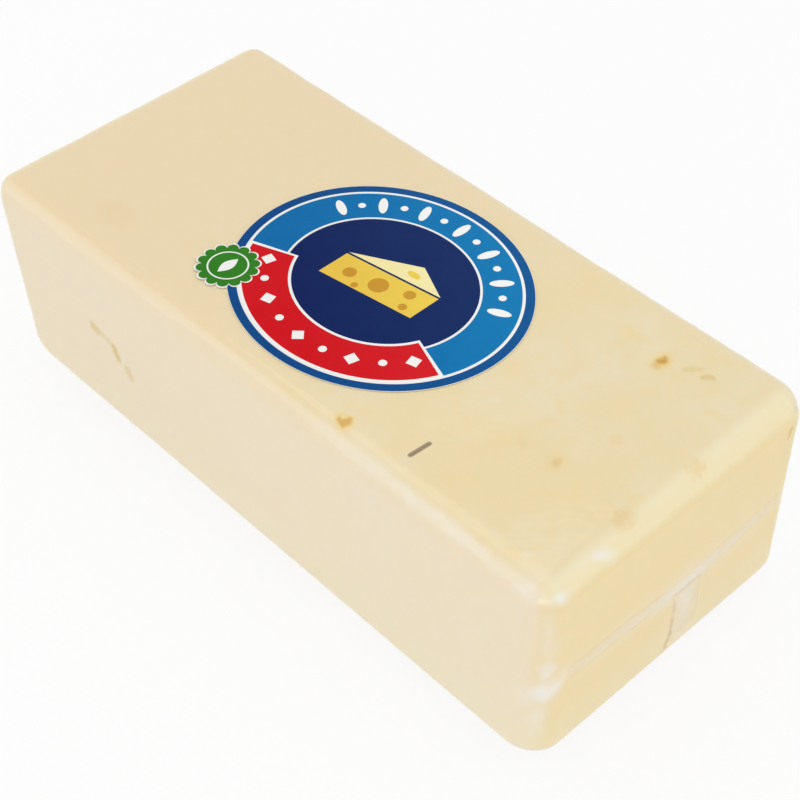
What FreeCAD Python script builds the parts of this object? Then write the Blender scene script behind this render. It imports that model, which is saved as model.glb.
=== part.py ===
# Hard cheese block, sealed tight in clear film, with a printed label on its top.
# Millimetres. Origin at the middle of the underside, +Z up, +X along the length towards
# the near end, so that the long side shown faces -Y and the near end faces +X.
import FreeCAD, Part
import Sketcher
import os

doc = FreeCAD.newDocument("hard_cheese_block")

# ---- driving dimensions, then what follows from them -------------------------------------
SIZES = [
    ("packLength", 190.0, "length of the sealed block, without the end seams"),
    ("packWidth", 89.0, "width of the block"),
    ("packHeight", 62.0, "height of the block"),
    # each corner has its own rounding, and an edge runs from one radius to the other
    ("roundTopFarFront", 4.8, "top corner, far end, shown side"),
    ("roundTopNearFront", 6.6, "top corner, near end, shown side"),
    ("roundTopNearBack", 9.3, "top corner, near end, rear side"),
    ("roundTopFarBack", 6.2, "top corner, far end, rear side"),
    ("roundBaseFarFront", 16.0, "bottom corner, far end, shown side, pressed softest"),
    ("roundBaseNearFront", 9.7, "bottom corner, near end, shown side"),
    ("roundBaseNearBack", 8.3, "bottom corner, near end, rear side"),
    ("roundBaseFarBack", 9.5, "bottom corner, far end, rear side"),
    # one die-cut sticker: an oval with a small scalloped seal on its rim
    ("labelLength", 75.0, "oval label, along the block"),
    ("labelWidth", 68.0, "oval label, across the block"),
    ("labelThick", 0.2, "thickness of the sticker"),
    ("labelShiftX", 3.3, "middle of the oval from the block's middle, along the block"),
    ("labelShiftY", -2.2, "middle of the oval from the block's middle, across the block"),
    ("sealDiameter", 13.0, "seal, inside its scallops"),
    ("sealBearing", 219.0, "where the seal sits on the oval's rim, in degrees from +X"),
    ("scallopDiameter", 3.0, "one scallop of the seal's edge"),
    ("scallopCount", 14, "scallops round the seal"),
    # the film's welded fin, folded flat across each end, with a pleat below it
    ("seamHeight", 31.0, "middle of the fin at its two tips, above the underside"),
    ("seamDip", 3.2, "how much lower the fin runs at the pleat"),
    ("seamWidth", 4.4, "fin, from its upper to its lower edge"),
    ("seamThick", 0.5, "fin and pleat, out from the end of the block"),
    ("seamMargin", 0.5, "between the fin's tips, or the pleat's foot, and the rounding"),
    ("pleatWidth", 9.5, "pleat below the fin"),
    ("pleatShift", 5.2, "middle of the pleat, towards the rear side"),
]

FOLLOWS = [
    ("sealX", "=labelShiftX + labelLength / 2 * cos(sealBearing * 1deg)"),
    ("sealY", "=labelShiftY + labelWidth / 2 * sin(sealBearing * 1deg)"),
    ("scallopRing", "=sealDiameter / 2"),
    ("seamLow", "=seamHeight - seamDip - seamWidth / 2"),
]

sheet = doc.addObject("Spreadsheet::Sheet", "Sizes")


def fill_row(row, meaning, content, alias):
    sheet.set("A%d" % row, meaning)
    sheet.set("B%d" % row, content)
    sheet.setAlias("B%d" % row, alias)


for row, (alias, value, meaning) in enumerate(SIZES, start=1):
    fill_row(row, meaning, str(value), alias)
for row, (alias, formula) in enumerate(FOLLOWS, start=len(SIZES) + 1):
    fill_row(row, "worked out", formula, alias)
doc.recompute()


def size(alias):
    return float(sheet.get(alias))


def bind(thing, **formulas):
    """Tie properties of a thing to formulas over the sheet; a dot is written as two underscores."""
    for name, formula in formulas.items():
        thing.setExpression(name.replace("__", "."), formula)


# ---- the sealed block ---------------------------------------------------------------------
def corner_size(point):
    """The alias of the rounding at the corner of the square block that a point lies on."""
    level = "Top" if point.z > size("packHeight") / 2 else "Base"
    end = "Near" if point.x > 0 else "Far"
    side = "Back" if point.y > 0 else "Front"
    return "round" + level + end + side


def make_block():
    square = doc.addObject("Part::Box", "SquareBlock")
    bind(square, Length="Sizes.packLength", Width="Sizes.packWidth", Height="Sizes.packHeight",
         Placement__Base__x="-Sizes.packLength / 2", Placement__Base__y="-Sizes.packWidth / 2")
    doc.recompute()
    rounded = doc.addObject("Part::Fillet", "RoundedBlock")
    rounded.Base = square
    roundings = []
    for number, edge in enumerate(square.Shape.Edges, start=1):
        ends = (edge.valueAt(edge.FirstParameter), edge.valueAt(edge.LastParameter))
        roundings.append((number, size(corner_size(ends[0])), size(corner_size(ends[1]))))
    rounded.Edges = roundings
    rounded.Label = "cheese_pack"
    return rounded


# ---- the printed label --------------------------------------------------------------------
def make_disc(name, diameter, x, y):
    disc = doc.addObject("Part::Cylinder", name)
    bind(disc, Radius=diameter + " / 2", Height="Sizes.labelThick", Placement__Base__x=x,
         Placement__Base__y=y, Placement__Base__z="Sizes.packHeight")
    return disc


def make_label():
    rim = doc.addObject("Part::Ellipse", "OvalRim")
    bind(rim, MajorRadius="Sizes.labelLength / 2", MinorRadius="Sizes.labelWidth / 2",
         Placement__Base__x="Sizes.labelShiftX", Placement__Base__y="Sizes.labelShiftY",
         Placement__Base__z="Sizes.packHeight")
    oval = doc.addObject("Part::Extrusion", "Oval")
    oval.Base = rim
    oval.DirMode = "Custom"
    oval.Dir = FreeCAD.Vector(0, 0, 1)
    oval.Solid = True
    bind(oval, LengthFwd="Sizes.labelThick")
    pieces = [oval, make_disc("Seal", "Sizes.sealDiameter", "Sizes.sealX", "Sizes.sealY")]
    for step in range(int(size("scallopCount"))):
        turn = "(360deg * %d / Sizes.scallopCount)" % step
        pieces.append(make_disc("Scallop%d" % step, "Sizes.scallopDiameter",
                                "Sizes.sealX + Sizes.scallopRing * cos%s" % turn,
                                "Sizes.sealY + Sizes.scallopRing * sin%s" % turn))
    label = doc.addObject("Part::MultiFuse", "Label")
    label.Shapes = pieces
    label.Refine = True
    label.Label = "label_sticker"
    return label


# ---- the film's end seams -----------------------------------------------------------------
def rounding_at_seam(end, side):
    """Formula for how far in the flat of an end starts at the height of the fin's lower edge.

    The rounding of an upright edge runs evenly from its bottom radius to its top radius.
    """
    base = "Sizes.roundBase" + end + side
    top = "Sizes.roundTop" + end + side
    rise = "(Sizes.seamLow - %s) / (Sizes.packHeight - %s - %s)" % (base, base, top)
    return "(%s + (%s - %s) * %s)" % (base, top, base, rise)


def seam_outline(end):
    """Corners of the fin with its pleat, as (across, up) formulas, round from the front tip."""
    front = "-(Sizes.packWidth / 2 - %s - Sizes.seamMargin)" % rounding_at_seam(end, "Front")
    back = "Sizes.packWidth / 2 - %s - Sizes.seamMargin" % rounding_at_seam(end, "Back")
    left = "Sizes.pleatShift - Sizes.pleatWidth / 2"
    right = "Sizes.pleatShift + Sizes.pleatWidth / 2"
    upper = "Sizes.seamHeight + Sizes.seamWidth / 2"
    lower = "Sizes.seamHeight - Sizes.seamWidth / 2"
    foot = "max(Sizes.roundBase%sFront; Sizes.roundBase%sBack) + Sizes.seamMargin" % (end, end)
    return [(front, upper), (front, lower), (left, "Sizes.seamLow"), (left, foot),
            (right, foot), (right, "Sizes.seamLow"), (back, lower), (back, upper),
            (right, upper + " - Sizes.seamDip"), (left, upper + " - Sizes.seamDip")]


def draw_outline(sketch, corners):
    """Closed outline of straight lines, each corner held by its two formulas over the sheet."""
    points = [FreeCAD.Vector(sketch.evalExpression(across), sketch.evalExpression(up), 0)
              for across, up in corners]
    for index, point in enumerate(points):
        sketch.addGeometry(Part.LineSegment(point, points[(index + 1) % len(points)]), False)
    for index in range(len(points)):
        following = (index + 1) % len(points)
        sketch.addConstraint(Sketcher.Constraint("Coincident", index, 2, following, 1))
    for index, (point, formulas) in enumerate(zip(points, corners)):
        for kind, value, formula in zip(("DistanceX", "DistanceY"), point, formulas):
            held = sketch.addConstraint(Sketcher.Constraint(kind, -1, 1, index, 1, value))
            sketch.setExpression("Constraints[%d]" % held, formula)


def make_seam(end, outward):
    body = doc.addObject("PartDesign::Body", end + "Seam")
    body.Label = "end_seam_" + end.lower()
    sketch = body.newObject("Sketcher::SketchObject", end + "SeamOutline")
    plane = [feature for feature in body.Origin.OriginFeatures if feature.Role == "YZ_Plane"][0]
    sketch.AttachmentSupport = [(plane, "")]
    sketch.MapMode = "FlatFace"
    bind(sketch, AttachmentOffset__Base__z="%d * Sizes.packLength / 2" % outward)
    draw_outline(sketch, seam_outline(end))
    fin = body.newObject("PartDesign::Pad", end + "SeamFin")
    fin.Profile = sketch
    fin.Reversed = outward < 0
    bind(fin, Length="Sizes.seamThick")
    return body


# ---- build, check, write ------------------------------------------------------------------
parts = [make_block(), make_label(), make_seam("Near", 1), make_seam("Far", -1)]
doc.recompute()

for thing in doc.Objects:
    if "Invalid" in thing.State or "Error" in thing.State:
        raise RuntimeError("%s did not build: %s" % (thing.Label, thing.State))
for part in parts:
    if part.Shape.isNull() or not part.Shape.isValid():
        raise RuntimeError(part.Label + " has no sound shape")

os.makedirs("parts", exist_ok=True)
for part in parts:
    part.Shape.exportStep("parts/" + part.Label + ".step")
    print(part.Label, "%d solid, %.1f mm3" % (len(part.Shape.Solids), part.Shape.Volume))
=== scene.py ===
import math
import bpy
import numpy as np
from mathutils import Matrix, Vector, noise


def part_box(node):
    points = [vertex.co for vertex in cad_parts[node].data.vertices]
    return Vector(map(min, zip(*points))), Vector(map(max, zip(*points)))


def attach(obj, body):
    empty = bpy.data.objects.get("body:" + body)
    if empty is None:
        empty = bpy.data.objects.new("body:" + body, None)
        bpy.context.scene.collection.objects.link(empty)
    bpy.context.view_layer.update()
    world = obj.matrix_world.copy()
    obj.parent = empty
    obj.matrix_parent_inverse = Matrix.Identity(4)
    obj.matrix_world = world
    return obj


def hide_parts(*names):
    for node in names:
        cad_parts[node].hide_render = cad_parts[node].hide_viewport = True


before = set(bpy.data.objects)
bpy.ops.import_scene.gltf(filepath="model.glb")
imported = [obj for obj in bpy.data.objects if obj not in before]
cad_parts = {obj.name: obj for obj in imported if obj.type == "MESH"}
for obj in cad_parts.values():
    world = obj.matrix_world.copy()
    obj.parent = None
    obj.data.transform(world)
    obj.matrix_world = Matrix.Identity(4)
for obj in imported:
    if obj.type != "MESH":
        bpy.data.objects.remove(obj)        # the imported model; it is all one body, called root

noise.seed_set(4)        # so that the creases bend in the same way at every run
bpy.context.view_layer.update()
packLow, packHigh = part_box("cheese_pack")
labelLow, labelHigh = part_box("label_sticker")
labelMiddle, labelHalf = (labelLow + labelHigh) / 2, (labelHigh - labelLow) / 2
mm = 0.001
print("frame loaded")


# small helpers
def srgb(code):
    # sRGB hex to the linear colour that the shaders want
    parts = [int(code[place:place + 2], 16) / 255 for place in (1, 3, 5)]
    return tuple(v / 12.92 if v <= 0.04045 else ((v + 0.055) / 1.055) ** 2.4 for v in parts) + (1.0,)


def newMaterial(name):
    made = bpy.data.materials.new(name)
    made.use_nodes = True
    made.node_tree.nodes.clear()
    return made, made.node_tree


def addNode(tree, kind, links=None, **settings):
    # one node: links are wires or values by input, a setting called in1, in2 ... is a value by number
    node = tree.nodes.new(kind)
    for name, value in settings.items():
        if name.startswith("in") and name[2:].isdigit():
            node.inputs[int(name[2:])].default_value = value
        else:
            setattr(node, name, value)
    for name, source in (links or {}).items():
        socket = node.inputs[name]
        if isinstance(source, bpy.types.NodeSocket):
            tree.links.new(source, socket)
        else:
            socket.default_value = source
    return node


def vectorStep(tree, operation, first, second=(0.0, 0.0, 0.0), output=0):
    return addNode(tree, "ShaderNodeVectorMath", {0: first, 1: second}, operation=operation).outputs[output]


def numberStep(tree, operation, first, second=0.0, **settings):
    return addNode(tree, "ShaderNodeMath", {0: first, 1: second}, operation=operation, **settings).outputs[0]


def evenMap(tree, source, start, stop, low=0.0, high=1.0, **settings):
    # changes from low to high while the source goes from start to stop
    return addNode(tree, "ShaderNodeMapRange", {0: source}, in1=start, in2=stop, in3=low, in4=high,
                   **settings).outputs[0]


def smoothMap(tree, source, start, stop, low, high):
    return evenMap(tree, source, start, stop, low, high, interpolation_type="SMOOTHSTEP")


def noiseWave(tree, position, size, detail):
    # cloudy noise with blobs of about the given size in mm
    return addNode(tree, "ShaderNodeTexNoise", {"Vector": position}, in2=1 / (size * mm), in3=detail)


def bumpMap(tree, height, strength, depth, **below):
    # the shading of small bumps, depth in mm, over the normals given as Normal
    links = {"Height": height, "Strength": strength, "Distance": depth * mm, **below}
    return addNode(tree, "ShaderNodeBump", links).outputs[0]


def mixColour(tree, amount, below, above):
    return addNode(tree, "ShaderNodeMix", {0: amount, 6: below, 7: above}, data_type="RGBA").outputs[2]


def addPiece(name, mesh, material, node):
    # a visible piece in its material, riding the part and standing in for a CAD node
    mesh.materials.clear()
    mesh.materials.append(material)
    piece = bpy.data.objects.new(name, mesh)
    bpy.context.scene.collection.objects.link(piece)
    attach(piece, "root")
    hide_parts(node)
    return piece


def smoothPiece(name, vertices, faces, material, node):
    mesh = bpy.data.meshes.new(name)
    mesh.from_pydata([tuple(v) for v in vertices], [], [tuple(f) for f in faces])
    mesh.validate()
    mesh.shade_smooth()
    return addPiece(name, mesh, material, node)


# the brick's own shape: a block whose eight corners are each rounded by a radius of their own
brick = {
    "length": (packHigh.x - packLow.x) / mm,
    "width": (packHigh.y - packLow.y) / mm,
    "height": packHigh.z / mm,
    "cornerRadii": {                    # mm; far or near end, front or back side
        "baseFarFront": 16.0, "baseNearFront": 9.7, "baseNearBack": 8.3, "baseFarBack": 9.5,
        "topFarFront": 6.2, "topNearFront": 6.6, "topNearBack": 9.3, "topFarBack": 6.2,
    },
    "step": 0.8,                        # mm between mesh lines
    "filmInset": 0.03,                  # mm from the outside in to the film
    "filmGap": 0.12,                    # mm from the film in to the cheese
    "fold": 0.30,                       # mm kept free for the film's folds to stand up into
    "endSpare": 0.4,                    # mm more room at each end, where the fins are
    "sag": 0.45,                        # mm, how far the flat sides fall in between their rims
    "hollowReach": 0.85,                # how far in from rim to middle a hollow has its full depth
    "unevenness": 0.35,                 # mm, slow waves of a block pressed and cut by wire
    "waveLength": 46.0,                 # mm from wave to wave
    "rimWaver": 0.6,                    # mm, how far the rims waver
    "rimWaveLength": 9.0,               # mm
}


def blockLattice(length, width, height, step):
    # points all over a box and the four-sided faces between them, each point made once
    counts = [int(round(side / step)) for side in (length, width, height)]
    corners, faces = [], []
    for axis in range(3):
        u, v = [a for a in range(3) if a != axis]
        gridU, gridV = np.meshgrid(np.arange(counts[u] + 1), np.arange(counts[v] + 1), indexing="ij")
        for level in (0, counts[axis]):
            grid = np.zeros(gridU.shape + (3,), int)
            grid[..., u], grid[..., v], grid[..., axis] = gridU, gridV, level
            outward = (level > 0) == (axis != 1)
            ring = [grid[:-1, :-1], grid[1:, :-1], grid[1:, 1:], grid[:-1, 1:]]
            ring = ring if outward else ring[::-1]
            faces.append(np.stack([part.reshape(-1, 3) for part in ring], 1))
    faces = np.concatenate(faces)
    corners, index = np.unique(faces.reshape(-1, 3), axis=0, return_inverse=True)
    return corners / np.array(counts), index.reshape(-1, 4)


def roundedBlock(inset):
    # the lattice pulled in to the rounded form, with its outward directions
    share, faces = blockLattice(brick["length"], brick["width"], brick["height"], brick["step"])
    size = np.array([brick["length"], brick["width"], brick["height"]])
    radii = brick["cornerRadii"]
    x, y, z = share.T
    radius = np.zeros(len(share))
    for level, high in (("base", 1 - z), ("top", z)):
        for end, along in (("Far", 1 - x), ("Near", x)):
            for side, across in (("Front", 1 - y), ("Back", y)):
                radius += high * along * across * radii[level + end + side]
    middle = (share - 0.5) * size
    reach = size / 2 - radius[:, None]
    core = np.clip(middle, -reach, reach)
    outward = middle - core
    outward /= np.linalg.norm(outward, axis=1)[:, None]
    points = core + outward * (radius - inset)[:, None]
    points[:, 2] += brick["height"] / 2
    return points, outward, faces


def slowNoise(points, scale, shift, octaves=2):
    # smooth noise from about -1 to 1, one value for each point
    return np.array([noise.fractal(Vector(p / scale + shift), 1.0, 2.0, octaves) for p in points])


def smoothRise(share):
    share = np.clip(share, 0, 1)
    return share ** 2 * (3 - 2 * share)


def faceHollow(points):
    # 0 at the rims of each flat side, rising smoothly to 1 towards its middle
    half = np.array([brick["length"], brick["width"], brick["height"]]) / 2
    away = 1 - np.abs(points - [0, 0, half[2]]) / half
    return smoothRise(np.sort(away, axis=1)[:, 1] / brick["hollowReach"])


# marks on and just under the cheese's skin, in mm from the block's middle and underside
marks = {
    "eyes": [   # (x, y, z), how far it reaches along x, y and z, strength
        ((65.2, 25.5, 62.0), (1.7, 2.1, 3.0), 1.0),
        ((65.4, 23.0, 62.0), (2.2, 1.8, 2.0), 0.30),
        ((29.9, -38.6, 62.0), (2.2, 1.6, 3.0), 1.0),
        ((30.7, -37.6, 62.0), (1.3, 1.4, 2.0), 0.50),
        ((69.7, -14.6, 62.0), (2.0, 2.3, 2.0), 0.34),
    ],
    "stains": [
        ((91.0, 6.4, 60.6), (2.8, 3.8, 3.0), 0.42),
        ((89.6, -16.0, 60.8), (3.4, 4.4, 3.0), 0.45),
        ((61.1, -15.4, 62.0), (2.8, 2.2, 3.0), 0.25),
        ((74.0, -0.9, 62.0), (2.2, 3.0, 3.0), 0.25),
        ((-60.0, -30.0, 62.0), (9.0, 6.0, 4.0), 0.20),
    ],
    "lines": [   # places it runs through, half width, strength, colour
        ([(70.2, 26.5, 61.1), (72.6, 29.0, 61.1)], 1.3, 0.30, "slit"),
        ([(74.8, 27.7, 61.1), (76.3, 28.7, 61.1)], 1.3, 0.50, "slit"),
        ([(-56.4, -43.7, 36.0), (-54.6, -43.7, 35.1)], 2.0, 0.60, "slit"),
        ([(-53.0, -43.7, 35.4), (-49.0, -43.7, 34.0)], 1.6, 0.30, "slit"),
        ([(-48.3, -43.7, 33.5), (-47.3, -43.7, 30.9)], 1.6, 0.80, "slit"),
        ([(-43.6, -43.7, 28.8), (-42.9, -43.7, 27.2)], 2.2, 0.50, "slit"),
        ([(94.3, 35.6, 53.6), (94.3, 35.2, 51.6)], 1.0, 0.80, "slit"),
        # painted shade: a dark line painted along a fold of the film beside the pleat, for the shade in its
        # crease
        ([(94.3, 1.4, 22.0), (94.3, 1.2, 12.1), (94.3, 0.2, 9.7), (94.1, -0.6, 7.0)], 0.9, 0.50, "fold"),
        # painted shade: where the film stands off the back rim and the far right corner, a grey line is
        # painted on the cheese
        ([(60.0, 43.4, 60.8), (82.0, 43.2, 60.6), (90.6, 42.0, 59.4), (94.2, 38.4, 57.6)],
         2.0, 0.50, "filmEdgeShade"),
    ],
    "scratch": [(46.8, -35.0, 61.1), (47.2, -29.8, 61.1)],
    "scratchLayers": [(0.85, 0.9, "scratchEdge"), (0.527, 0.9, "scratch")],    # half width, strength, colour
    "eyeDepth": 0.3,    # mm
}


def blobShare(points, place, reach):
    gap = np.linalg.norm((points - np.array(place)) / np.array(reach), axis=1)
    return np.clip(1 - gap, 0, 1)


# cheese: pressed curd, cut with a wire, so it is matt and waxy, and light sinks in a few millimetres
cheeseLook = {
    "face": "#EFDDAF", "pale": "#EFE1BE", "warm": "#EFDBA9",    # the top's three tones
    "farFace": "#EDD9B3", "farShare": 0.9, "farReach": 60.0,    # mm from the middle to where it is full
    # painted light and shade on whole faces: the long sides' tone is lighter, the ends' tone warmer and
    # darker
    "paleSide": "#F2E4CB", "warmEnd": "#F1D99A", "flatShare": 0.75, "turnFrom": 0.35, "turnFull": 0.95,
    # the rim tone is a painted highlight along the rounded edge between the top and an end
    "rim": "#F7F4D8", "rimHighlightShare": 0.42, "rimFrom": 0.12, "rimFull": 0.50,
    # the base tone is painted light, thrown up from the table onto the foot
    "base": "#F5ECC9", "floorGlowShare": 0.55, "floorGlowReach": 25.0,    # mm, how far up the paler foot goes
    "eye": "#CE9600", "eyeRim": "#EECB62", "eyeRimShare": 0.7, "eyeRimReach": 1.8, "stain": "#E8C582",
    # the fold and film edge tones are painted shade, for the fold's crease and the film standing off the back
    # rim
    "slit": "#D8BC5C", "fold": "#C09A48", "filmEdgeShade": "#C4C3BE",
    "scratch": "#9A7C50", "scratchEdge": "#664A2C",
    "roughness": 0.46, "scatter": 0.28, "scatterReach": 2.4,
    "mottle": 26.0, "curd": 5.5, "grain": 0.8, "ragged": 1.6,   # mm, the sizes of its patterns
    "grainBump": (0.12, 0.15),                                  # strength, and depth in mm
    "wobble": 2.2, "tear": 3.4,                                 # mm, how ragged marks and stains are
}


def blobMask(tree, position, place, reach):
    # 1 in the middle of an oval blob, falling to 0 at its edge
    moved = vectorStep(tree, "SUBTRACT", position, [v * mm for v in place])
    scaled = vectorStep(tree, "DIVIDE", moved, [v * mm for v in reach])
    return smoothMap(tree, vectorStep(tree, "LENGTH", scaled, output="Value"), 1.0, 0.25, 0.0, 1.0)


def lineMask(tree, position, start, finish, width):
    # 1 along a straight line, falling to 0 at its edges, which are rounded at both ends
    start, along = Vector(start) * mm, (Vector(finish) - Vector(start)) * mm
    moved = vectorStep(tree, "SUBTRACT", position, start)
    reach = vectorStep(tree, "DOT_PRODUCT", moved, along, "Value")
    share = numberStep(tree, "DIVIDE", reach, along.length_squared, use_clamp=True)
    onLine = addNode(tree, "ShaderNodeVectorMath", {0: along, "Scale": share}, operation="SCALE")
    away = vectorStep(tree, "DISTANCE", moved, onLine.outputs[0], "Value")
    return smoothMap(tree, away, width * mm, width * 0.35 * mm, 0.0, 1.0)


def makeCheese():
    look = cheeseLook
    made, tree = newMaterial("pressedHardCheese")
    coordinates = addNode(tree, "ShaderNodeTexCoord").outputs
    position = coordinates["Object"]
    along = addNode(tree, "ShaderNodeSeparateXYZ", {0: position}).outputs
    facing = addNode(tree, "ShaderNodeSeparateXYZ", {0: coordinates["Normal"]}).outputs

    def pattern(size, detail, low, high, shift=0.0):
        wave = noiseWave(tree, vectorStep(tree, "ADD", position, (shift, shift, shift)), size, detail)
        return evenMap(tree, wave.outputs[0], low, high)

    def tint(below, tone, mask, strength=1.0):
        return mixColour(tree, numberStep(tree, "MULTIPLY", mask, strength), below, srgb(look[tone]))

    colour = tint(srgb(look["face"]), "pale", pattern(look["mottle"], 3.0, 0.4, 0.65))
    colour = tint(colour, "warm", pattern(look["curd"], 4.0, 0.52, 0.75, 0.3))
    # the far half of the top is a shade browner than the near half
    reach = look["farReach"] * mm
    colour = tint(colour, "farFace", smoothMap(tree, along["X"], -reach, reach, look["farShare"], 0.0))
    # painted light and shade: the two long sides are painted paler than the top, as if lit more, and the ends
    # warmer and a little darker, as if lit less
    sideways, endways = [numberStep(tree, "ABSOLUTE", facing[axis]) for axis in ("Y", "X")]
    for turned, tone in ((sideways, "paleSide"), (endways, "warmEnd")):
        share = smoothMap(tree, turned, look["turnFrom"], look["turnFull"], 0.0, look["flatShare"])
        colour = tint(colour, tone, share)
    # painted highlight: the rim between the top and an end is painted paler than both, for the shine along it
    turned = numberStep(tree, "MULTIPLY", endways, facing["Z"])
    share = smoothMap(tree, turned, look["rimFrom"], look["rimFull"], 0.0, look["rimHighlightShare"])
    colour = tint(colour, "rim", share)
    # painted light: the foot is painted paler towards the table, for the light thrown up from it
    share = smoothMap(tree, along["Z"], 0.0, look["floorGlowReach"] * mm, look["floorGlowShare"], 0.0)
    colour = tint(colour, "base", share)

    # marks with ragged edges; the stains are torn most, so that none of them is round
    ragged = noiseWave(tree, position, look["ragged"], 2.0).outputs["Color"]
    centred = vectorStep(tree, "SUBTRACT", ragged, (0.5, 0.5, 0.5))

    def displaced(reach):
        away = addNode(tree, "ShaderNodeVectorMath", {0: centred, "Scale": reach * mm}, operation="SCALE")
        return vectorStep(tree, "ADD", position, away.outputs[0])

    wobbly, torn = displaced(look["wobble"]), displaced(look["tear"])
    for place, reach, strength in marks["stains"]:
        colour = tint(colour, "stain", blobMask(tree, torn, place, reach), strength)
    for place, reach, strength in marks["eyes"]:
        wide = [v * look["eyeRimReach"] for v in reach]
        colour = tint(colour, "eyeRim", blobMask(tree, wobbly, place, wide), strength * look["eyeRimShare"])
        colour = tint(colour, "eye", blobMask(tree, wobbly, place, reach), strength)
    # among these lines, the fold and the film edge are painted shade
    for places, width, strength, tone in marks["lines"]:
        for start, finish in zip(places, places[1:]):
            colour = tint(colour, tone, lineMask(tree, wobbly, start, finish, width), strength)
    for width, strength, tone in marks["scratchLayers"]:
        colour = tint(colour, tone, lineMask(tree, position, *marks["scratch"], width), strength)
    # where the clinging film is clouded, the cheese below it looks milky; the same attribute also carries
    # painted highlights along the top front rim and painted glints at the near top corner
    cloud = addNode(tree, "ShaderNodeAttribute", attribute_name="milkAndSheen").outputs["Fac"]
    colour = mixColour(tree, cloud, colour, srgb(filmLook["milkAndSheen"]))

    grain = noiseWave(tree, position, look["grain"], 3.0)
    bump = bumpMap(tree, grain.outputs[0], *look["grainBump"])
    skin = addNode(tree, "ShaderNodeBsdfPrincipled",
                   {"Base Color": colour, "Roughness": look["roughness"], "IOR": 1.45,
                    "Subsurface Weight": look["scatter"], "Subsurface Radius": (1.0, 0.62, 0.28),
                    "Subsurface Scale": look["scatterReach"] * mm, "Normal": bump})
    addNode(tree, "ShaderNodeOutputMaterial", {"Surface": skin.outputs[0]})
    return made


# the film: clear barrier film, shrunk tight; glossy, and milky only where it is bunched or welded
filmLook = {
    # the milk colour is also the colour of the painted highlights and glints on the cheese
    "clear": "#FEFDFA", "milkAndSheen": "#F4F1EE", "shine": 0.12, "roughness": 0.13,
    "ripple": 7.0, "rippleBump": (0.25, 0.5),                # size in mm; strength, and depth in mm
    "crinkle": 1.6, "crinkleBump": (0.10, 0.2),
    "bend": 1.2, "bendLength": 4.4, "cloudSize": 2.6,        # mm, how creases meander and clouds vary
}


def makeFilm():
    look = filmLook
    made, tree = newMaterial("clearShrinkFilm")
    position = addNode(tree, "ShaderNodeTexCoord").outputs["Object"]
    ripple = noiseWave(tree, position, look["ripple"], 2.0)
    wide = bumpMap(tree, ripple.outputs[0], *look["rippleBump"])
    crinkle = noiseWave(tree, position, look["crinkle"], 2.0)
    bump = bumpMap(tree, crinkle.outputs[0], *look["crinkleBump"], Normal=wide)
    seeThrough = addNode(tree, "ShaderNodeBsdfTransparent", {"Color": srgb(look["clear"])}).outputs[0]
    gloss = addNode(tree, "ShaderNodeBsdfGlossy", {"Color": (1, 1, 1, 1), "Roughness": look["roughness"],
                                                   "Normal": bump}).outputs[0]
    milkAndSheen = addNode(tree, "ShaderNodeBsdfDiffuse", {"Color": srgb(look["milkAndSheen"])}).outputs[0]

    def mixSurface(share, below, above):
        return addNode(tree, "ShaderNodeMixShader", {0: share, 1: below, 2: above}).outputs[0]

    # only the outside shines and is milky, as the inside clings to the cheese
    inside = addNode(tree, "ShaderNodeNewGeometry").outputs["Backfacing"]
    outside = numberStep(tree, "SUBTRACT", 1.0, inside)
    fresnel = addNode(tree, "ShaderNodeFresnel", {"IOR": 1.5, "Normal": bump}).outputs[0]
    mirror = numberStep(tree, "MINIMUM", numberStep(tree, "MULTIPLY", outside, fresnel), look["shine"])
    cloud = addNode(tree, "ShaderNodeAttribute", attribute_name="milkAndSheen").outputs["Fac"]
    body = mixSurface(numberStep(tree, "MULTIPLY", outside, cloud), seeThrough, milkAndSheen)
    shiny = mixSurface(mirror, body, gloss)
    # so thin a film throws no shade: light for the cheese goes straight through
    rays = addNode(tree, "ShaderNodeLightPath").outputs
    passing = numberStep(tree, "MAXIMUM", rays["Is Shadow Ray"], rays["Is Diffuse Ray"])
    surface = mixSurface(passing, shiny, seeThrough)
    addNode(tree, "ShaderNodeOutputMaterial", {"Surface": surface})
    return made


# clouded film under and round each end's fin and pleat: places, width (mm), milkiness
endClouds = [
    ([(95.0, -38.0, 31.6), (95.0, -5.0, 27.6), (95.0, 10.0, 27.6), (95.0, 38.0, 30.6)], 4.8, 0.28),
    ([(95.0, -40.0, 31.2), (95.0, -5.0, 27.2), (95.0, 10.0, 27.2), (95.0, 40.0, 30.6)], 2.4, 0.56),
    ([(95.0, -10.0, 27.2), (95.0, 18.0, 27.4)], 3.2, 0.80),
    ([(95.0, 5.2, 28.0), (95.0, 5.2, 14.0), (94.0, 5.6, 3.0)], 4.6, 0.30),
    ([(95.0, 5.4, 30.0), (95.0, 6.0, 10.0)], 3.6, 0.60),
]
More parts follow.
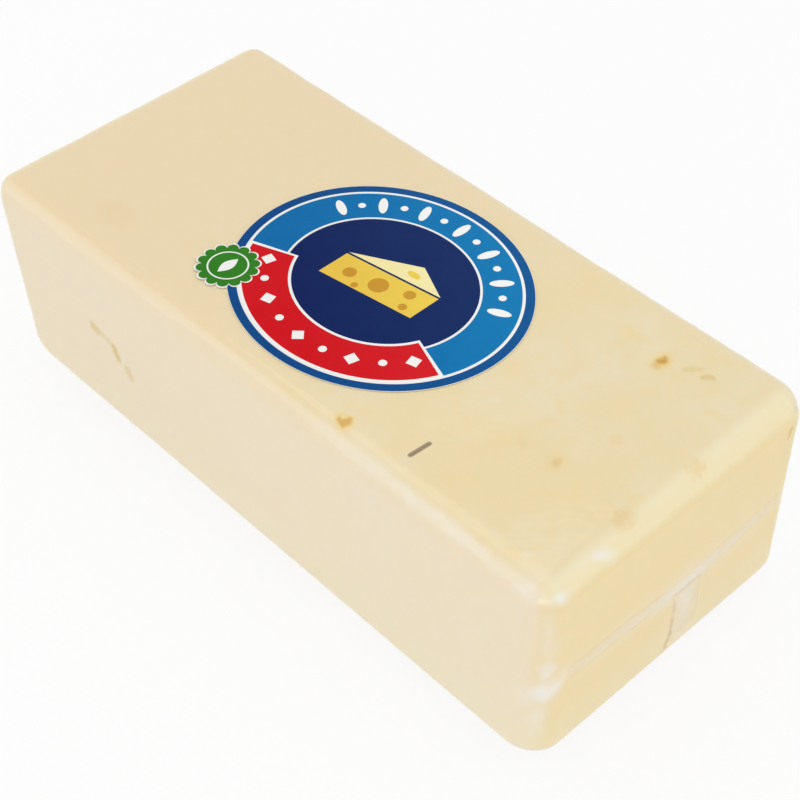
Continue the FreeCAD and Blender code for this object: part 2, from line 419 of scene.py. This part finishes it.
# the film's creases and bunched places: places, width, height and milkiness, all in mm but the last; at the
# top front rim and the near top corner the milkiness is a painted highlight
creases = [
    # the bag's gathered ear at the near front corner
    ([(91.0, -43.4, 25.6), (92.6, -42.0, 27.6), (94.3, -39.8, 29.2), (95.0, -36.6, 31.4)], 3.5, 0.05, 1.00),
    ([(91.6, -42.8, 26.0), (93.4, -41.2, 28.0), (94.4, -39.4, 28.8)], 3.8, 0.02, 1.00),
    ([(93.4, -41.0, 28.4), (94.0, -40.8, 40.0)], 2.0, 0.03, 0.80),
    ([(94.0, -40.8, 36.0), (93.8, -41.0, 44.0), (93.4, -41.9, 57.0)], 2.5, 0.01, 0.42),
    ([(92.9, -41.6, 29.0), (92.5, -41.9, 19.3), (92.1, -42.0, 9.0)], 2.6, 0.01, 0.55),
    # painted highlight: a pale streak along the top front rim, where the film is drawn tight
    ([(26.0, -42.3, 60.6), (51.3, -42.4, 60.3), (72.0, -42.8, 59.9), (84.0, -43.0, 59.5)], 2.1, 0.01, 0.44),
    ([(84.0, -42.9, 59.6), (90.6, -42.3, 58.6)], 2.8, 0.01, 0.50),
    # small stiff folds at the near top corner, with painted glints: their whiteness stands in for highlights
    ([(93.3, -40.7, 57.8), (94.3, -37.8, 58.4)], 1.9, 0.10, 1.00),
    ([(91.8, -27.6, 60.7), (92.6, -25.2, 60.2), (93.6, -23.4, 59.0)], 1.4, 0.10, 0.90),
    ([(91.5, -31.6, 60.9), (91.8, -29.2, 60.8)], 1.0, 0.04, 0.45),
    ([(82.6, -38.2, 62.0), (82.9, -36.4, 62.0)], 1.2, 0.03, 0.55),
    ([(47.0, -11.6, 62.0), (48.2, -9.2, 62.0)], 0.8, 0.03, 0.30),
]
for side in (1, -1):
    for places, width, cloud in endClouds:
        creases.append(([(side * x, y, z) for x, y, z in places], width, 0.0, cloud))


def lineGap(points, places):
    # how far each point is from a line through the places, and how far along it is
    places = np.array(places)
    nearest, share = np.full(len(points), np.inf), np.zeros(len(points))
    for step in range(len(places) - 1):
        start, along = places[step], places[step + 1] - places[step]
        part = np.clip((points - start) @ along / (along @ along), 0, 1)
        gap = np.linalg.norm(points - start - part[:, None] * along, axis=1)
        closer = gap < nearest
        nearest[closer] = gap[closer]
        share[closer] = ((step + part) / (len(places) - 1))[closer]
    return nearest, share


def labelShare(points):
    # 1 below the label, where the film lies flat, falling to 0 at one and a half times its size
    x, y = points[:, 0] * mm - labelMiddle.x, points[:, 1] * mm - labelMiddle.y
    away = np.hypot(x / labelHalf.x, y / labelHalf.y)
    onTop = np.clip((points[:, 2] - brick["height"] + 3) / 2, 0, 1)
    return np.clip((1.5 - away) / 0.42, 0, 1) * onTop


def sharedRelief(points, outward):
    # hollows and slow waves, which cheese and film share; the underside and the label's place stay flat
    waves = slowNoise(points, brick["waveLength"], Vector((3.1, 0.4, 7.7)))
    relief = -brick["sag"] * faceHollow(points) - brick["unevenness"] * (0.5 + 0.5 * waves) - brick["fold"]
    atRim = 1 - np.abs(outward).max(axis=1)
    wavy = atRim > 0.01
    waver = slowNoise(points[wavy], brick["rimWaveLength"], Vector((6.6, 2.9, 5.1)))
    relief[wavy] -= brick["rimWaver"] * atRim[wavy] * (1 + waver)
    return relief * (1 - labelShare(points)) * (1 - np.clip(-outward[:, 2], 0, 1))


def filmSurface(points, outward):
    # how far the film stands out, and how milky it is, from its folds; the milkiness also holds painted
    # highlights and glints
    relief = sharedRelief(points, outward)
    milkAndSheen = np.zeros(len(points))
    # bent a little, so that no fold is drawn with a ruler
    bends = np.array([noise.noise_vector(Vector(p / filmLook["bendLength"])) for p in points])
    bent = points + filmLook["bend"] * bends
    for places, width, height, cloud in creases:
        gap, share = lineGap(bent, places)
        ends = np.sin(np.pi * np.clip(share, 0.06, 0.94)) ** 0.5
        relief += height * ends * np.exp(-(gap / width) ** 2)
        milkAndSheen = np.maximum(milkAndSheen, cloud * ends * np.exp(-(gap / width) ** 2.2))
    cloudy = milkAndSheen > 0.02
    milkAndSheen[cloudy] *= 0.9 + 0.25 * slowNoise(points[cloudy], filmLook["cloudSize"], Vector((4.2, 8.8, 1.3)))
    # nothing stands out past the solid
    spare = np.where(outward[:, 0] ** 2 > 0.9, brick["endSpare"], -0.01)
    return np.minimum(relief, brick["filmInset"] + spare), milkAndSheen


def storeMilkAndSheen(piece, milkAndSheen):
    layer = piece.data.attributes.new("milkAndSheen", "FLOAT", "POINT")
    layer.data.foreach_set("value", milkAndSheen.astype(np.float32))


def makeBlock():
    points, outward, faces = roundedBlock(brick["filmInset"] + brick["filmGap"])
    relief = sharedRelief(points, outward)
    for place, reach, strength in marks["eyes"]:
        relief -= marks["eyeDepth"] * strength * blobShare(points, place, [v * 1.2 for v in reach]) ** 0.8
    piece = smoothPiece("cheeseBlock", (points + outward * relief[:, None]) * mm, faces, makeCheese(),
                        "cheese_pack")
    storeMilkAndSheen(piece, filmSurface(points, outward)[1])


def makeFilmWrap(material):
    points, outward, faces = roundedBlock(brick["filmInset"])
    relief = filmSurface(points, outward)[0]
    smoothPiece("filmWrap", (points + outward * relief[:, None]) * mm, faces, material, "cheese_pack")


# the welded fin across each end: folded down flat, dipping to a pleat that runs on to the bottom rim
seam = {
    "near": {"node": "end_seam_near", "outward": 1},
    "far": {"node": "end_seam_far", "outward": -1},
    "width": 4.4, "dip": 3.2, "thick": 0.05,         # mm
    "over": 0.03, "under": 0.01, "most": 0.49,       # mm, how far its two skins are off the film
    "edge": 0.34, "tip": 0.05,                       # shares of its width and length where it thins out
    "patch": 5.0, "middleReach": 6.0, "paleReach": 20.0,    # mm: its clouds, and where it is milkiest
    "pleatWidth": 9.5, "pleatShift": 5.2, "pleatPatch": 4.0,
    "pleatLeft": 0.10, "pleatRight": 0.45,           # shares of the pleat's width that its edges take up
    "pleatStand": 0.20, "pleatWave": 0.08,           # mm, how far it stands off at the left, and its waves
    "milkAndSheen": 0.22, "pleatMilk": 0.22,                 # how cloudy the welded film is at its most
    "step": 0.5, "finRows": 13, "pleatRows": 20,     # mm, and mesh lines across
}


def seamHeight(across, tips, ends):
    # height of the fin's middle at a place across the end
    left = seam["pleatShift"] - seam["pleatWidth"] / 2
    right = left + seam["pleatWidth"]
    down = np.where(across < left, (across - ends[0]) / (left - ends[0]),
                    np.where(across > right, (ends[1] - across) / (ends[1] - right), 1.0))
    return tips - seam["dip"] * np.clip(down, 0, 1)


def makeStrip(name, middle, ups, sideways, side, liftAndMilk, material):
    # a thin closed sheet over the film on one end, feathered out towards its edges
    across, up = np.meshgrid(sideways, ups, indexing="ij")
    up = up + middle(across)
    outward = seam[side]["outward"]
    flat = np.stack([np.full(across.size, outward * brick["length"] / 2), across.ravel(), up.ravel()], 1)
    normals = np.zeros_like(flat)
    normals[:, 0] = outward
    film = filmSurface(flat, normals)[0] - brick["filmInset"]
    lift, milkAndSheen = liftAndMilk(across, up)
    front = np.minimum(film + seam["over"] + lift.ravel(), seam["most"])
    back = film + seam["under"]
    rows, columns = across.shape
    points = np.concatenate([flat + normals * front[:, None], flat + normals * back[:, None]])

    def at(i, j, layer):
        return layer * rows * columns + i * columns + j

    quads = []
    for i in range(rows - 1):
        for j in range(columns - 1):
            quads.append((at(i, j, 0), at(i + 1, j, 0), at(i + 1, j + 1, 0), at(i, j + 1, 0)))
            quads.append((at(i, j + 1, 1), at(i + 1, j + 1, 1), at(i + 1, j, 1), at(i, j, 1)))
    sheets = len(quads)
    rim = [(i, 0) for i in range(rows)] + [(rows - 1, j) for j in range(1, columns)]
    rim += [(i, columns - 1) for i in range(rows - 2, -1, -1)] + [(0, j) for j in range(columns - 2, 0, -1)]
    for place, following in zip(rim, rim[1:] + rim[:1]):
        quads.append((at(*place, 1), at(*following, 1), at(*following, 0), at(*place, 0)))
    if outward < 0:
        quads = [quad[::-1] for quad in quads]
    piece = smoothPiece(name + side.capitalize(), points * mm, quads, material, seam[side]["node"])
    for edge in piece.data.polygons[sheets:]:
        edge.use_smooth = False
    storeMilkAndSheen(piece, np.concatenate([milkAndSheen.ravel(), 0 * milkAndSheen.ravel()]))


def softEdge(share, feather):
    # 0 at both ends of 0 to 1, rising smoothly to 1 within the feather
    return smoothRise(np.minimum(share, 1 - share) / feather)


def patches(across, up, size, shift):
    flat = np.stack([across.ravel(), up.ravel(), np.zeros(across.size)], 1)
    return np.clip(0.5 + 0.6 * slowNoise(flat, size, shift).reshape(across.shape), 0, 1)


def makeSeam(side, material):
    low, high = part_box(seam[side]["node"])
    ends = (low.y / mm, high.y / mm)
    tips = high.z / mm - seam["width"] / 2
    left = seam["pleatShift"] - seam["pleatWidth"] / 2

    def middle(across):
        return seamHeight(across, tips, ends)

    def fin(across, up):
        over = softEdge((up - middle(across)) / seam["width"] + 0.5, seam["edge"])
        along = softEdge((across - ends[0]) / (ends[1] - ends[0]), seam["tip"])
        ripple = patches(across, up, seam["patch"], Vector((1.7, 5.2, 0.3)))
        lift = seam["thick"] * over * along * (0.6 + 0.8 * ripple)
        off = across - seam["pleatShift"]
        centre = np.exp(-(off / seam["middleReach"]) ** 2)
        inward = 0.42 + 0.58 * np.exp(-(off / seam["paleReach"]) ** 2)
        milkAndSheen = over * along * seam["milkAndSheen"] * (inward * (0.5 + 0.7 * ripple) + 0.3 * centre)
        return lift, np.clip(milkAndSheen, 0, seam["milkAndSheen"])

    ups = np.linspace(-seam["width"] / 2, seam["width"] / 2, seam["finRows"])
    sideways = np.linspace(ends[0], ends[1], int((ends[1] - ends[0]) / seam["step"]))
    makeStrip("endSeam", middle, ups, sideways, side, fin, material)

    foot = low.z / mm
    top = tips - seam["dip"] - seam["width"] / 2 + 0.2

    def pleat(across, up):
        # a flat tuck: it stands off along its left edge and feathers out to the right
        share = (across - left) / seam["pleatWidth"]
        high = np.clip((up - foot) / (top - foot), 0, 1)
        over = np.clip(share / seam["pleatLeft"], 0, 1)
        over = over * np.clip((1 - share) / seam["pleatRight"], 0, 1) ** 1.5
        upward = softEdge(high * 0.9 + 0.03, 0.12)
        cloud = patches(across, up, seam["pleatPatch"], Vector((7.2, 1.4, 2.1)))
        waves = np.abs(np.sin(share * math.pi * 1.5))
        lift = over * upward * (seam["pleatStand"] * (1 - share) ** 2 + seam["pleatWave"] * waves)
        milkAndSheen = over * upward * seam["pleatMilk"] * (0.55 + 0.8 * high ** 3) * (0.55 + 0.9 * cloud)
        return lift, np.clip(milkAndSheen, 0, seam["pleatMilk"])

    sideways = np.linspace(left, left + seam["pleatWidth"], seam["pleatRows"])
    makeStrip("endPleat", np.zeros_like, np.arange(foot, top, seam["step"]), sideways, side, pleat, material)


film = makeFilm()
makeBlock()
makeFilmWrap(film)
for end in ("near", "far"):
    makeSeam(end, film)
print("block, film and end seams made")


# the label: coated paper, printed; its plain design is an oval badge with a wedge of cheese
label = {
    "paperThick": 0.12, "inkThick": 0.012, "inkRise": 0.009,       # mm
    "rim": (0.998, 0.937), "band": (0.917, 0.662), "heart": 0.645,     # shares of the oval
    "ribbon": (0.903, 0.60), "ribbonFrom": 203, "ribbonTo": 337,
    "ribbonEdge": 0.020, "ribbonEdgeTurn": 1.6,                    # its white edge, as a share and in degrees
    "diamonds": {"count": 9, "reach": 1.9, "dot": 1.0},            # mm
    "leaves": {"count": 13, "from": 27, "to": 153, "oval": 0.79, "size": (2.9, 1.15), "dot": 0.95},
    "sealBearing": 219, "sealRadius": 6.5, "scallops": 14, "scallopRadius": 1.5, "scallopSteps": 16,
    "sealRing": (5.0, 4.6), "sealLeaf": (3.2, 1.428),
    "wedgeTop": [(-13.0, 2.2), (3.5, 11.0), (13.5, 6.2)],
    "wedgeFace": [(-13.0, 1.6), (13.5, 5.6), (13.5, -3.6), (-13.0, -7.4)],
    "wedgeHoles": [(-7.6, -2.6, 1.7), (0.4, -1.0, 2.5), (7.9, 1.8, 1.5), (9.6, -2.2, 1.1), (-3.6, -4.9, 0.9)],
    "wedgeTopHole": (3.6, 7.4, 1.9, 0.5),
    "inks": {"deepBlue": "#004686", "blue": "#0069A8", "navy": "#001B58", "white": "#F4F4F0",
             "red": "#D20818", "green": "#2F7C1C", "cream": "#F6E3A4", "yellow": "#E9BE4B",
             "amber": "#C98E2C"},
    "paper": "#F1F0EB", "roughness": 0.36, "specular": 0.08,
    "glare": 0.60, "glareFrom": -18, "glareTo": 34,                   # painted highlight: how much lighter the far back is, and mm
    "grain": 6, "grainShare": 0.10, "cockle": 9, "cockleBump": (0.25, 0.4),   # mm; strength, and depth in mm
}


def ovalLine(share, start=0.0, stop=360.0, count=144):
    # points on an oval of the label's proportions, in mm from the label's middle
    steps = count + 1 if stop - start < 360 else count
    turns = [math.radians(start + (stop - start) * step / count) for step in range(steps)]
    return [(share * labelHalf.x / mm * math.cos(t), share * labelHalf.y / mm * math.sin(t)) for t in turns]


def onOval(share, bearing):
    return ovalLine(share, bearing, bearing + 1, 1)[0]


def circle(x, y, radius, flat=1.0, count=40):
    turns = [2 * math.pi * step / count for step in range(count)]
    return [(x + radius * math.cos(t), y + radius * flat * math.sin(t)) for t in turns]


def leaningOval(x, y, along, across, lean, count=32):
    turns = [2 * math.pi * step / count for step in range(count)]
    return [(x + along * math.cos(t) * math.cos(lean) - across * math.sin(t) * math.sin(lean),
             y + along * math.cos(t) * math.sin(lean) + across * math.sin(t) * math.cos(lean)) for t in turns]


def leafLine(x, y, half, wide, count=20):
    # an upright leaf, pointed at both ends, drawn up one side and down the other
    up = list(range(count + 1))
    return [(x + side * wide * math.sin(math.pi * step / count), y - half + 2 * half * step / count)
            for side, steps in ((-1, up), (1, up[:0:-1])) for step in steps]


def sealLine(grow):
    # outline of the scalloped seal, each place as far out as the seal or a scallop reaches
    x, y = onOval(1.0, label["sealBearing"])
    ring, bead, spacing = label["sealRadius"], label["scallopRadius"], 2 * math.pi / label["scallops"]
    count = label["scallops"] * label["scallopSteps"]
    outline = []
    for step in range(count):
        turn = 2 * math.pi * step / count
        off = (turn + spacing / 2) % spacing - spacing / 2
        inside = bead ** 2 - (ring * math.sin(off)) ** 2
        reach = ring * math.cos(off) + math.sqrt(inside) if inside > 0 else ring
        reach = max(ring, reach) + grow
        outline.append((x + reach * math.cos(turn), y + reach * math.sin(turn)))
    return outline


def paperLine():
    # the sticker's outline: the oval, with the part of the seal that stands out past it
    half = (labelHalf.x / mm, labelHalf.y / mm)

    def bearing(place):
        return math.atan2(place[1] / half[1], place[0] / half[0]) % (2 * math.pi)

    oval, seal = ovalLine(1.0, count=720), sealLine(0.0)
    out = [math.hypot(x / half[0], y / half[1]) > 1 for x, y in seal]
    start = next(step for step in range(len(seal)) if out[step] and not out[step - 1])
    seal, out = seal[start:] + seal[:start], out[start:] + out[:start]
    run = seal[:out.index(False)]
    before = [place for place in oval if bearing(place) < min(map(bearing, run))]
    after = [place for place in oval if bearing(place) > max(map(bearing, run))]
    return before + run + after


def flatShape(name, outlines, low, high, material):
    # a thin plate with the given outlines, the later ones cut out of the first
    curve = bpy.data.curves.new(name, "CURVE")
    curve.dimensions = "2D"
    curve.fill_mode = "BOTH"
    curve.extrude = (high - low) / 2 * mm
    for outline in outlines:
        line = curve.splines.new("POLY")
        line.points.add(len(outline) - 1)
        for point, (x, y) in zip(line.points, outline):
            point.co = (x * mm, y * mm, 0, 1)
        line.use_cyclic_u = True
    helper = bpy.data.objects.new(name + "Line", curve)
    bpy.context.scene.collection.objects.link(helper)
    seen = helper.evaluated_get(bpy.context.evaluated_depsgraph_get())
    mesh = bpy.data.meshes.new_from_object(seen)
    bpy.data.objects.remove(helper)
    bpy.data.curves.remove(curve)
    mesh.name = name
    for vertex in mesh.vertices:
        vertex.co += Vector((labelMiddle.x, labelMiddle.y, packHigh.z + (low + high) / 2 * mm))
    addPiece(name, mesh, material, "label_sticker")


def makeInk(name, colour):
    # offset ink on coated paper: even, with a painted highlight that makes it a little lighter towards the
    # far back of the oval, and a satin shine
    made, tree = newMaterial(name)
    position = addNode(tree, "ShaderNodeTexCoord").outputs["Object"]
    cloud = noiseWave(tree, position, label["grain"], 3.0)
    slant = vectorStep(tree, "DOT_PRODUCT", position, (0.6, 0.8, 0.0), "Value")
    glare = evenMap(tree, slant, label["glareFrom"] * mm, label["glareTo"] * mm, 0.0, label["glare"])
    grain = evenMap(tree, cloud.outputs[0], 0.3, 0.7, 0.0, label["grainShare"])
    depth = numberStep(tree, "ADD", glare, grain)
    red, green, blue = srgb(colour)[:3]
    lighter = (min(1.0, red * 1.2 + 0.008), min(1.0, green * 1.6 + 0.02), min(1.0, blue * 1.35 + 0.02), 1.0)
    tone = mixColour(tree, depth, srgb(colour), lighter)
    cockle = noiseWave(tree, position, label["cockle"], 2.0)
    bump = bumpMap(tree, cockle.outputs[0], *label["cockleBump"])
    skin = addNode(tree, "ShaderNodeBsdfPrincipled",
                   {"Base Color": tone, "Roughness": label["roughness"], "IOR": 1.45,
                    "Specular IOR Level": label["specular"], "Normal": bump})
    addNode(tree, "ShaderNodeOutputMaterial", {"Surface": skin.outputs[0]})
    return made


def makeLabel():
    inks = {name: makeInk("printed" + name.capitalize(), code) for name, code in label["inks"].items()}
    paperTop = label["paperThick"]
    flatShape("labelPaper", [paperLine()], 0.0, paperTop, makeInk("coatedPaper", label["paper"]))

    def printShape(name, outlines, layer, ink):
        low = paperTop + (layer - 1) * label["inkRise"]
        flatShape(name, outlines, low, low + label["inkThick"], inks[ink])

    def printArc(name, outer, inner, start, stop, layer, ink):
        printShape(name, [ovalLine(outer, start, stop) + ovalLine(inner, start, stop)[::-1]], layer, ink)

    printShape("labelRim", [ovalLine(share) for share in label["rim"]], 1, "deepBlue")
    printShape("labelBand", [ovalLine(share) for share in label["band"]], 1, "blue")
    printShape("labelHeart", [ovalLine(label["heart"])], 1, "navy")
    # the red arc with its white edge, and diamonds and dots by turns along it
    outer, inner = label["ribbon"]
    start, stop = label["ribbonFrom"], label["ribbonTo"]
    edge, turn = label["ribbonEdge"], label["ribbonEdgeTurn"]
    printArc("labelRibbonEdge", outer + edge, inner - edge, start - turn, stop + turn, 2, "white")
    printArc("labelRibbon", outer, inner, start, stop, 3, "red")
    diamonds = label["diamonds"]
    for step in range(diamonds["count"]):
        turn = start + (stop - start) * (step + 0.5) / diamonds["count"]
        x, y = onOval((outer + inner) / 2, turn)
        corners = [math.radians(turn + spin) for spin in (0, 90, 180, 270)]
        mark = [(x + diamonds["reach"] * math.cos(t), y + diamonds["reach"] * math.sin(t)) for t in corners]
        if step % 2:
            mark = circle(x, y, diamonds["dot"])
        printShape("labelRibbonMark%d" % step, [mark], 4, "white")
    # leaves and dots by turns along the blue band
    leaves = label["leaves"]
    for step in range(leaves["count"]):
        turn = leaves["from"] + (leaves["to"] - leaves["from"]) * step / (leaves["count"] - 1)
        x, y = onOval(leaves["oval"], turn)
        mark = leaningOval(x, y, *leaves["size"], math.radians(turn))
        if step % 2:
            mark = circle(x, y, leaves["dot"])
        printShape("labelBandMark%d" % step, [mark], 2, "white")
    # the wedge, seen from a little above
    printShape("wedgeTop", [label["wedgeTop"]], 2, "cream")
    printShape("wedgeFace", [label["wedgeFace"]], 2, "yellow")
    for step, hole in enumerate(label["wedgeHoles"]):
        printShape("wedgeHole%d" % step, [circle(*hole)], 3, "amber")
    printShape("wedgeTopHole", [circle(*label["wedgeTopHole"])], 3, "yellow")
    # the seal
    x, y = onOval(1.0, label["sealBearing"])
    printShape("sealGround", [sealLine(-0.05)], 5, "white")
    printShape("sealField", [sealLine(-0.45)], 6, "green")
    printShape("sealRing", [circle(x, y, radius) for radius in label["sealRing"]], 7, "white")
    printShape("sealLeaf", [leafLine(x, y, *label["sealLeaf"])], 7, "white")


makeLabel()
print("label printed")


# the camera looks along the block's corner from above, as at arm's length
camera = {
    "azimuth": 45.89, "elevation": 44.98,           # degrees
    "distance": 2.3033, "aim": (0.0522, -0.0119, 0.15),    # in lengths of the block
    "lens": 81.18,
}


def placeCamera():
    lens = bpy.data.cameras.new("lookDown")
    lens.lens = camera["lens"]
    lens.sensor_width = 36
    lens.clip_start = 0.01
    eye = bpy.data.objects.new("lookDown", lens)
    bpy.context.scene.collection.objects.link(eye)
    turn, rise = math.radians(camera["azimuth"]), math.radians(camera["elevation"])
    back = Vector((math.sin(turn) * math.cos(rise), -math.cos(turn) * math.cos(rise), math.sin(rise)))
    length = brick["length"] * mm
    eye.location = Vector(camera["aim"]) * length + back * camera["distance"] * length
    eye.rotation_euler = (-back).to_track_quat("-Z", "Y").to_euler()
    bpy.context.scene.camera = eye


# soft wide lights on all sides, in a pale room
lights = {
    "world": 0.75,
    "lamps": [   # name, from where (mm), size along and across (mm), power in watts
        ("softboxLeft", (-360, -460, 300), (800, 460), 0.5),
        ("softboxRight", (480, 260, 260), (800, 560), 0.42),
        ("softboxNear", (460, -460, 160), (320, 200), 0.4),
        ("softboxTop", (-120, 60, 700), (500, 500), 0.6),
    ],
    "aim": (0, 0, 30),      # mm
    "table": "#F4F4F4",
    "tableHalf": 6.0,       # m
    "tableGlow": 0.86,      # where it is seen, the share of its white that it sends out itself
}


def directlySeen(tree):
    # 1 for what the camera sees, straight, in a shine or through glass
    rays = addNode(tree, "ShaderNodeLightPath").outputs
    first = numberStep(tree, "MAXIMUM", rays["Is Camera Ray"], rays["Is Glossy Ray"])
    return numberStep(tree, "MAXIMUM", first, rays["Is Transmission Ray"])


def placeLights():
    for name, place, size, power in lights["lamps"]:
        lamp = bpy.data.lights.new(name, "AREA")
        lamp.shape = "RECTANGLE"
        lamp.size, lamp.size_y = size[0] * mm, size[1] * mm
        lamp.energy = power
        holder = bpy.data.objects.new(name, lamp)
        holder.location = Vector(place) * mm
        aim = Vector(lights["aim"]) * mm - holder.location
        holder.rotation_euler = aim.to_track_quat("-Z", "Y").to_euler()
        bpy.context.scene.collection.objects.link(holder)
    world = bpy.data.worlds.new("paleRoom")
    bpy.context.scene.world = world
    world.use_nodes = True
    tree = world.node_tree
    tree.nodes.clear()
    # white where it is seen, straight or in a shine, and a plain level where it lights
    strength = addNode(tree, "ShaderNodeMix", {0: directlySeen(tree)}, in2=lights["world"], in3=1.0)
    sky = addNode(tree, "ShaderNodeBackground", {"Color": (1, 1, 1, 1), "Strength": strength.outputs[0]})
    addNode(tree, "ShaderNodeOutputWorld", {"Surface": sky.outputs[0]})


def placeFloor():
    # a pale table that keeps the block's soft shadow
    made, tree = newMaterial("paleTable")
    share = numberStep(tree, "MULTIPLY", directlySeen(tree), lights["tableGlow"])
    table = addNode(tree, "ShaderNodeBsdfDiffuse", {"Color": srgb(lights["table"])})
    white = addNode(tree, "ShaderNodeEmission", {"Color": (1, 1, 1, 1), "Strength": 1.0})
    both = addNode(tree, "ShaderNodeMixShader", {0: share, 1: table.outputs[0], 2: white.outputs[0]})
    addNode(tree, "ShaderNodeOutputMaterial", {"Surface": both.outputs[0]})
    half = lights["tableHalf"]
    mesh = bpy.data.meshes.new("table")
    corners = [(-half, -half, 0), (half, -half, 0), (half, half, 0), (-half, half, 0)]
    mesh.from_pydata(corners, [], [(0, 1, 2, 3)])
    mesh.materials.append(made)
    floor = bpy.data.objects.new("table", mesh)
    bpy.context.scene.collection.objects.link(floor)


placeCamera()
placeLights()
placeFloor()
bpy.context.scene.view_settings.view_transform = "Standard"
print("camera, lights and table placed")
